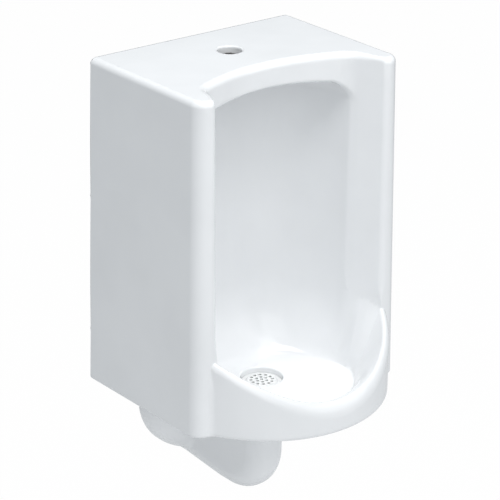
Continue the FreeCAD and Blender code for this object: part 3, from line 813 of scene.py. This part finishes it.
    def distance(self, x: Array, y: Array, z: Array) -> Array:
        """Signed distance to the whole casting: the outside, less the recess, the alcove and the hollows.

        Args:
            x: positions across.
            y: depths, below 0 in front of the wall.
            z: heights above the foot of the box.

        Returns:
            The distance in mm, below 0 in the china.
        """
        s = self.sizes
        half = np.abs(x)
        least, growth = s.wing_edge
        wing = (least + growth * ramp(y, s.wing_edge_span)) * ramp(z, s.wing_foot_span)
        body = rounded(self.outside(half, y, z), -self.recess(half, y, z), s.sharp + wing)
        crest = s.crest_edge * ramp(y, s.crest_span) * ramp(z, s.crest_top_span)
        edge = s.sharp + crest + s.alcove_edge * ramp(z, s.alcove_edge_span)
        body = rounded(body, -self.alcove(half, y, z), edge)
        body = rounded(body, -self.hollows(half, y, z), s.hollow_edge)
        body = joined(body, self.trap(half, y, z), s.keel_fillet)
        body = rounded(body, -self.chamber(x, y, z), s.cut_edge)
        return rounded(body, -self.water_way(half, y, z), s.cut_edge)

    def slope(self, points: Array) -> tuple[Array, Array]:
        """The distance and its steepest direction at some points, from central differences."""
        x, y, z = points.T
        step = self.slope_step
        value = self.distance(x, y, z)
        gradient = np.stack([
            self.distance(x + step, y, z) - self.distance(x - step, y, z),
            self.distance(x, y + step, z) - self.distance(x, y - step, z),
            self.distance(x, y, z + step) - self.distance(x, y, z - step)], 1) / (2 * step)
        return value, gradient

    def lattice(self) -> tuple[Array, Array, Array]:
        """The grid's planes: even cells, finer across the row of wash holes."""
        s = self.sizes
        margin = 2 * s.wash_hole
        fine = s.wash_pitch * (s.wash_count - 1) / 2 + margin
        wide = s.back_half + s.flare + 2 * self.cell
        outer = np.arange(fine + self.cell, wide + self.cell, self.cell)
        inner = np.linspace(-fine, fine, 2 * round(fine / self.fine_cell_across) + 1)
        x = np.concatenate([-outer[::-1], inner, outer])
        near, far = -s.wash_depth - margin, -s.wash_depth + margin
        y = np.concatenate([
            np.arange(-s.lip_reach - 2 * self.cell, near - self.cell / 2, self.cell),
            np.linspace(near, far, round((far - near) / self.fine_cell_deep) + 1),
            np.arange(far + self.cell, 2.5 * self.cell, self.cell)])
        bottom = -s.trap_bottom - s.keel_half - 2 * self.cell
        z = np.arange(bottom, s.height + 2 * self.cell, self.cell)
        return x, y, z

    def skin(self) -> tuple[Array, Array, Array]:
        """The surface where the distance is 0.

        Each cell of the grid that the surface crosses holds one point, the mean of the crossings on its
        edges, which then moves onto the surface along the steepest direction. Each crossed edge gives a
        face between the four cells round it.

        Returns:
            Points in mm, faces of four points each, and the normal at each point.
        """
        axes = self.lattice()
        grid = np.empty([len(axis) for axis in axes], np.float32)
        for i, x in enumerate(axes[0]):
            grid[i] = self.distance(np.full((len(axes[1]), 1), x), axes[1][:, None], axes[2][None, :])
        cells = np.array(grid.shape) - 1
        total = np.zeros((*cells, 3), np.float32)
        count = np.zeros(cells, np.float32)
        crossings = []
        for axis in range(3):
            edges, starts_inside, place = self.crossed_edges(grid, axes, axis)
            crossings.append((edges, starts_inside))
            for cell, good in self.cells_round(edges, axis, cells):
                flat = np.ravel_multi_index(cell[good].T, cells)
                np.add.at(count.reshape(-1), flat, 1)
                np.add.at(total.reshape(-1, 3), flat, place[good])
        active = count > 0
        number = np.full(cells, -1, np.int64)
        number[active] = np.arange(active.sum())
        points = self.settled((total[active] / count[active][:, None]).astype(float))
        gradient = self.slope(points)[1]
        normals = gradient / np.maximum(np.linalg.norm(gradient, axis=1), 1e-6)[:, None]
        return points, self.faces(crossings, number, cells), normals

    @staticmethod
    def crossed_edges(grid: Array, axes: tuple[Array, Array, Array], axis: int) -> tuple[Array, Array, Array]:
        """The grid's edges along one axis that the surface crosses.

        Args:
            grid: the distance at each grid point.
            axes: the grid's planes.
            axis: the number of the axis that the edges run along.

        Returns:
            The grid point that each edge starts from, whether that is inside, and where the crossing is.
        """
        first, second = [slice(None)] * 3, [slice(None)] * 3
        first[axis], second[axis] = slice(None, -1), slice(1, None)
        start, end = grid[tuple(first)], grid[tuple(second)]
        crossed = (start < 0) != (end < 0)
        edges = np.argwhere(crossed)
        share = start[crossed] / (start[crossed] - end[crossed])
        place = np.stack([axes[k][edges[:, k]] for k in range(3)], 1)
        place[:, axis] += share * (axes[axis][edges[:, axis] + 1] - axes[axis][edges[:, axis]])
        return edges, start[crossed] < 0, place

    @staticmethod
    def cells_round(edges: Array, axis: int, cells: Array) -> list[tuple[Array, Array]]:
        """The four cells round each edge, in turning order.

        Args:
            edges: the grid point that each edge starts from.
            axis: the number of the axis that they run along.
            cells: how many cells there are each way.

        Returns:
            Four pairs: a cell for each edge, and whether that is inside the grid.
        """
        one, two = (axis + 1) % 3, (axis + 2) % 3
        found = []
        for back_one, back_two in ((1, 1), (0, 1), (0, 0), (1, 0)):
            cell = edges.copy()
            cell[:, one] -= back_one
            cell[:, two] -= back_two
            found.append((cell, ((cell >= 0) & (cell < cells)).all(1)))
        return found

    def settled(self, points: Array) -> Array:
        """Moves points onto the surface along the steepest direction, less than half a cell at a time."""
        for _ in range(self.settling_moves):
            value, gradient = self.slope(points)
            steepness = np.maximum((gradient ** 2).sum(1), self.least_steepness)
            move = -(value / steepness)[:, None] * gradient
            excess = np.maximum(np.linalg.norm(move, axis=1) / (self.longest_move * self.cell), 1)
            points = points + move / excess[:, None]
        return points

    def faces(self, crossings: list[tuple[Array, Array]], number: Array, cells: Array) -> Array:
        """A face between the four cells round each crossed edge, in the order that faces out.

        Args:
            crossings: for each axis, the crossed edges and whether each starts inside.
            number: each cell's point, or -1.
            cells: how many cells there are each way.

        Returns:
            The faces.
        """
        made = []
        for axis, (edges, starts_inside) in enumerate(crossings):
            corners = []
            for cell, good in self.cells_round(edges, axis, cells):
                corner = np.full(len(cell), -1, np.int64)
                corner[good] = number[tuple(cell[good].T)]
                corners.append(corner)
            face = np.stack(corners, 1)
            face[~starts_inside] = face[~starts_inside][:, ::-1]
            made.append(face[(face >= 0).all(1)])
        return np.concatenate(made)

    def build(self) -> list[bpy.types.Object]:
        """Makes the skin as three pieces of like size that share their seams, from the room to the wall.

        Returns:
            The pieces.
        """
        points, faces, normals = self.skin()
        depth = points[faces][:, :, 1].mean(1)
        names = "china_front", "china_middle", "china_back"
        part = np.searchsorted(np.quantile(depth, (1 / 3, 2 / 3)), depth)
        placed = (points - np.array([0, 0, self.sizes.screw_middle])) / MM_IN_METRE
        return [grid_piece(name, placed, faces[part == k], normals) for k, name in enumerate(names)]


# ---------------------------------------------------------------- meshes


def grid_piece(name: str, points: Array, faces: Array, normals: Array) -> bpy.types.Object:
    """A mesh object at the origin, shaded by the normals given.

    Args:
        name: the object's name.
        points: in metres.
        faces: four points each.
        normals: one for each point.

    Returns:
        The object.
    """
    used, faces = np.unique(faces, return_inverse=True)
    faces = faces.reshape(-1, 4)
    points, normals = points[used], normals[used]
    mesh = bpy.data.meshes.new(name)
    mesh.vertices.add(len(points))
    mesh.vertices.foreach_set("co", points.astype(np.float32).ravel())
    mesh.loops.add(faces.size)
    mesh.loops.foreach_set("vertex_index", faces.astype(np.int32).ravel())
    mesh.polygons.add(len(faces))
    mesh.polygons.foreach_set("loop_start", np.arange(0, faces.size, 4, dtype=np.int32))
    mesh.update(calc_edges=True)
    mesh.validate()
    mesh.shade_smooth()
    mesh.normals_split_custom_set_from_vertices(normals.astype(np.float32))
    piece = bpy.data.objects.new(name, mesh)
    bpy.context.scene.collection.objects.link(piece)
    return piece


def dress(piece: bpy.types.Object, material: bpy.types.Material) -> None:
    """Gives a piece one material."""
    piece.data.materials.clear()
    piece.data.materials.append(material)


# ---------------------------------------------------------------- stage


@dataclass(frozen=True)
class Lamp:
    """One soft square lamp: its name, where it is, its side in metres and its power."""

    name: str
    place: tuple[float, float, float]
    size: float
    watts: float

    def build(self, aim: Vector) -> None:
        """Makes the lamp, turned to face a point."""
        data = bpy.data.lights.new(self.name, "AREA")
        data.size, data.energy = self.size, self.watts
        lamp = bpy.data.objects.new(self.name, data)
        lamp.location = self.place
        lamp.rotation_euler = (aim - Vector(self.place)).to_track_quat("-Z", "Y").to_euler()
        bpy.context.scene.collection.objects.link(lamp)


LAMPS = (
    Lamp("key", (-0.47, -0.71, 2.61), 1.7, 56),
    Lamp("front", (0.0, -1.76, 2.19), 1.7, 16),
    Lamp("left_fill", (-1.32, -2.43, 0.86), 1.9, 10.5),
    Lamp("right_fill", (1.32, -2.43, 0.86), 1.9, 8.5),
)


@dataclass(frozen=True)
class Stage:
    """A pale floor far below, plain soft light, and the camera at the photograph's angle."""

    azimuth: float = -39.16
    elevation: float = 22.63
    roll: float = 0.86
    distance: float = 3.2935
    target: tuple[float, float, float] = (-0.0061, -0.146, -0.1624)
    lens: float = 165.0
    film_width: float = 36.0
    farthest_seen: float = 50.0
    aim: tuple[float, float, float] = (0.0, -0.15, -0.1)
    room: Colour = (0.89, 0.95, 1.0)
    room_strength: float = 0.38
    floor_height: float = -0.95
    floor_half: float = 40.0
    floor_dark: Colour = (0.9, 0.9, 0.9)
    floor_light: Colour = (0.94, 0.94, 0.94)
    floor_rough: float = 0.8
    floor_glow: float = 0.985

    def camera(self) -> None:
        """Makes the camera."""
        a, e, r = (math.radians(v) for v in (self.azimuth, self.elevation, self.roll))
        back = Vector((math.sin(a) * math.cos(e), -math.cos(a) * math.cos(e), math.sin(e)))
        right = (-back).cross(Vector((0, 0, 1))).normalized()
        up = right.cross(-back)
        across = right * math.cos(r) + up * math.sin(r)
        above = up * math.cos(r) - right * math.sin(r)
        data = bpy.data.cameras.new("camera")
        data.lens, data.sensor_width = self.lens, self.film_width
        data.clip_end = self.farthest_seen
        camera = bpy.data.objects.new("camera", data)
        turn = Matrix((across, above, back)).transposed().to_4x4()
        camera.matrix_world = Matrix.Translation(Vector(self.target) + back * self.distance) @ turn
        bpy.context.scene.collection.objects.link(camera)
        bpy.context.scene.camera = camera

    def lights(self) -> None:
        """The lamps, and a pale world that is white to the camera."""
        for lamp in LAMPS:
            lamp.build(Vector(self.aim))
        world = bpy.data.worlds.new("pale_room")
        world.use_nodes = True
        tree = world.node_tree
        tree.nodes.clear()
        path = tree.nodes.new("ShaderNodeLightPath")
        seen = tree.nodes.new("ShaderNodeBackground")
        seen.inputs["Color"].default_value = (1, 1, 1, 1)
        room = tree.nodes.new("ShaderNodeBackground")
        room.inputs["Color"].default_value = (*self.room, 1)
        room.inputs["Strength"].default_value = self.room_strength
        mix = tree.nodes.new("ShaderNodeMixShader")
        out = tree.nodes.new("ShaderNodeOutputWorld")
        tree.links.new(path.outputs["Is Camera Ray"], mix.inputs[0])
        tree.links.new(room.outputs[0], mix.inputs[1])
        tree.links.new(seen.outputs[0], mix.inputs[2])
        tree.links.new(mix.outputs[0], out.inputs["Surface"])
        bpy.context.scene.world = world

    def floor(self) -> None:
        """A wide floor, nearly white to the camera, on which the object's own shadow barely shows."""
        corners = np.array([(-1, -1), (1, -1), (1, 1), (-1, 1)], float) * self.floor_half
        points = np.column_stack([corners, np.full(4, self.floor_height)])
        floor = grid_piece("floor", points, np.array([[0, 1, 2, 3]]), np.tile((0.0, 0.0, 1.0), (4, 1)))
        make = Finisher("pale_floor")
        speckle = make.noise(0.02, 3.0)
        matt = make.add("ShaderNodeBsdfPrincipled", None, {
            "Base Color": make.blend(speckle, self.floor_dark, self.floor_light),
            "Roughness": self.floor_rough})
        glow = make.add("ShaderNodeEmission", None, {"Strength": 1.0})
        path = make.add("ShaderNodeLightPath", output="Is Camera Ray")
        make.add_output(make.add("ShaderNodeMixShader", None, {0: self.floor_glow * path, 1: matt, 2: glow}))
        dress(floor, make.material)

    def build(self) -> None:
        """Makes the camera, the lamps, the world and the floor."""
        self.camera()
        self.lights()
        self.floor()
        bpy.context.scene.view_settings.view_transform = "Standard"


# ---------------------------------------------------------------- the whole


NODE_FINISH: dict[str, Finish] = {
    "strainer": Finish.STRAINER,
    "strainer_seal": Finish.RUBBER,
    "outlet_flange": Finish.FLANGE,
    "outlet_gasket": Finish.RUBBER,
    "flange_bolts": Finish.ZINC,
    "flange_washers": Finish.ZINC,
    "flange_nuts": Finish.ZINC,
    "left_hanger": Finish.ZINC,
    "right_hanger": Finish.ZINC,
    "hanger_screws": Finish.ZINC,
    "hanger_washers": Finish.ZINC,
}


def main() -> None:
    """Builds and dresses every piece."""
    logging.basicConfig(level=logging.INFO, format="%(name)s: %(message)s")
    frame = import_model()
    materials = {finish: recipe.material() for finish, recipe in RECIPES.items()}
    for piece in ChinaBody().build():
        dress(piece, materials[Finish.CHINA])
        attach(piece, "fixture")
        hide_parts("china_body")
        LOG.info("%s: %d faces", piece.name, len(piece.data.polygons))
    for name, finish in NODE_FINISH.items():
        dress(frame["nodes"][name], materials[finish])
        LOG.info("%s: %s", name, finish.value)
    Stage().build()
    bpy.context.view_layer.update()


if __name__ == "__main__":
    main()
